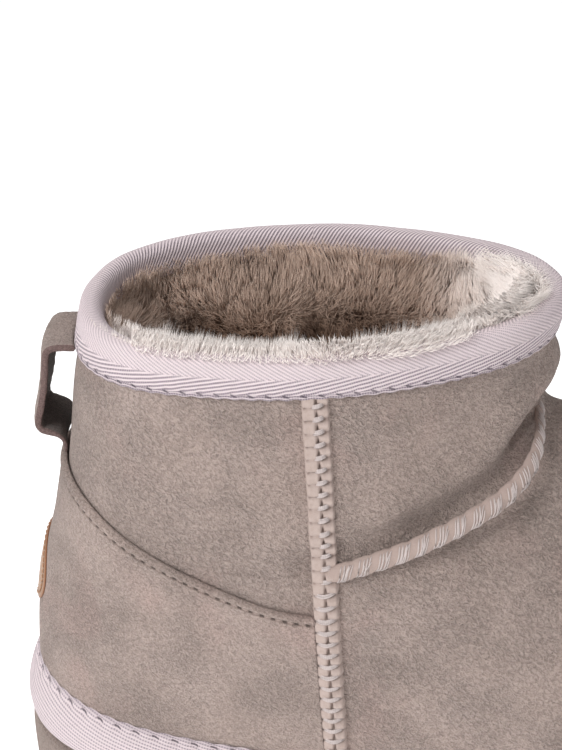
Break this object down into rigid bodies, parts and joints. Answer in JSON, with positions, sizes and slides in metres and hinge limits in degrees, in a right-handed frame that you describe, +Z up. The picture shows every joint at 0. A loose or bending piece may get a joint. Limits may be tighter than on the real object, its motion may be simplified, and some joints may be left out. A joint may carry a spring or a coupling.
{
  "type": "sheepskin ankle boot",
  "caption": "Lined suede ankle boot for the right foot on a suede-wrapped platform, with woven bindings, a heel counter and a pull loop.",
  "frame": {"origin": "on the floor, under the middle of the boot's outline", "axes": "+X towards the toe, +Y towards the wearer's left, which is the inner side of the right foot, +Z up"},
  "size_m": [0.2809, 0.108, 0.1783],
  "materials": {
    "suede": "napped suede, warm grey-taupe",
    "strap_suede": "napped suede with raw mauve-brown edges",
    "woven_tape": "herringbone twill tape, pale lilac-grey",
    "thread": "thick overstitch thread",
    "wool": "dense sheepskin pile, pale tips over grey-brown",
    "platform_wrap": "napped suede stretched over foam",
    "outsole_rubber": "matt foam rubber",
    "badge_leather": "smooth tan leather"
  },
  "bodies": {
    "root": {"upper": "suede", "collar_binding": "woven_tape", "heel_counter": "suede", "pull_loop": "strap_suede", "sole_binding": "woven_tape", "midsole": "platform_wrap", "outsole": "outsole_rubber", "insole": "wool"}
  },
  "joints": []
}
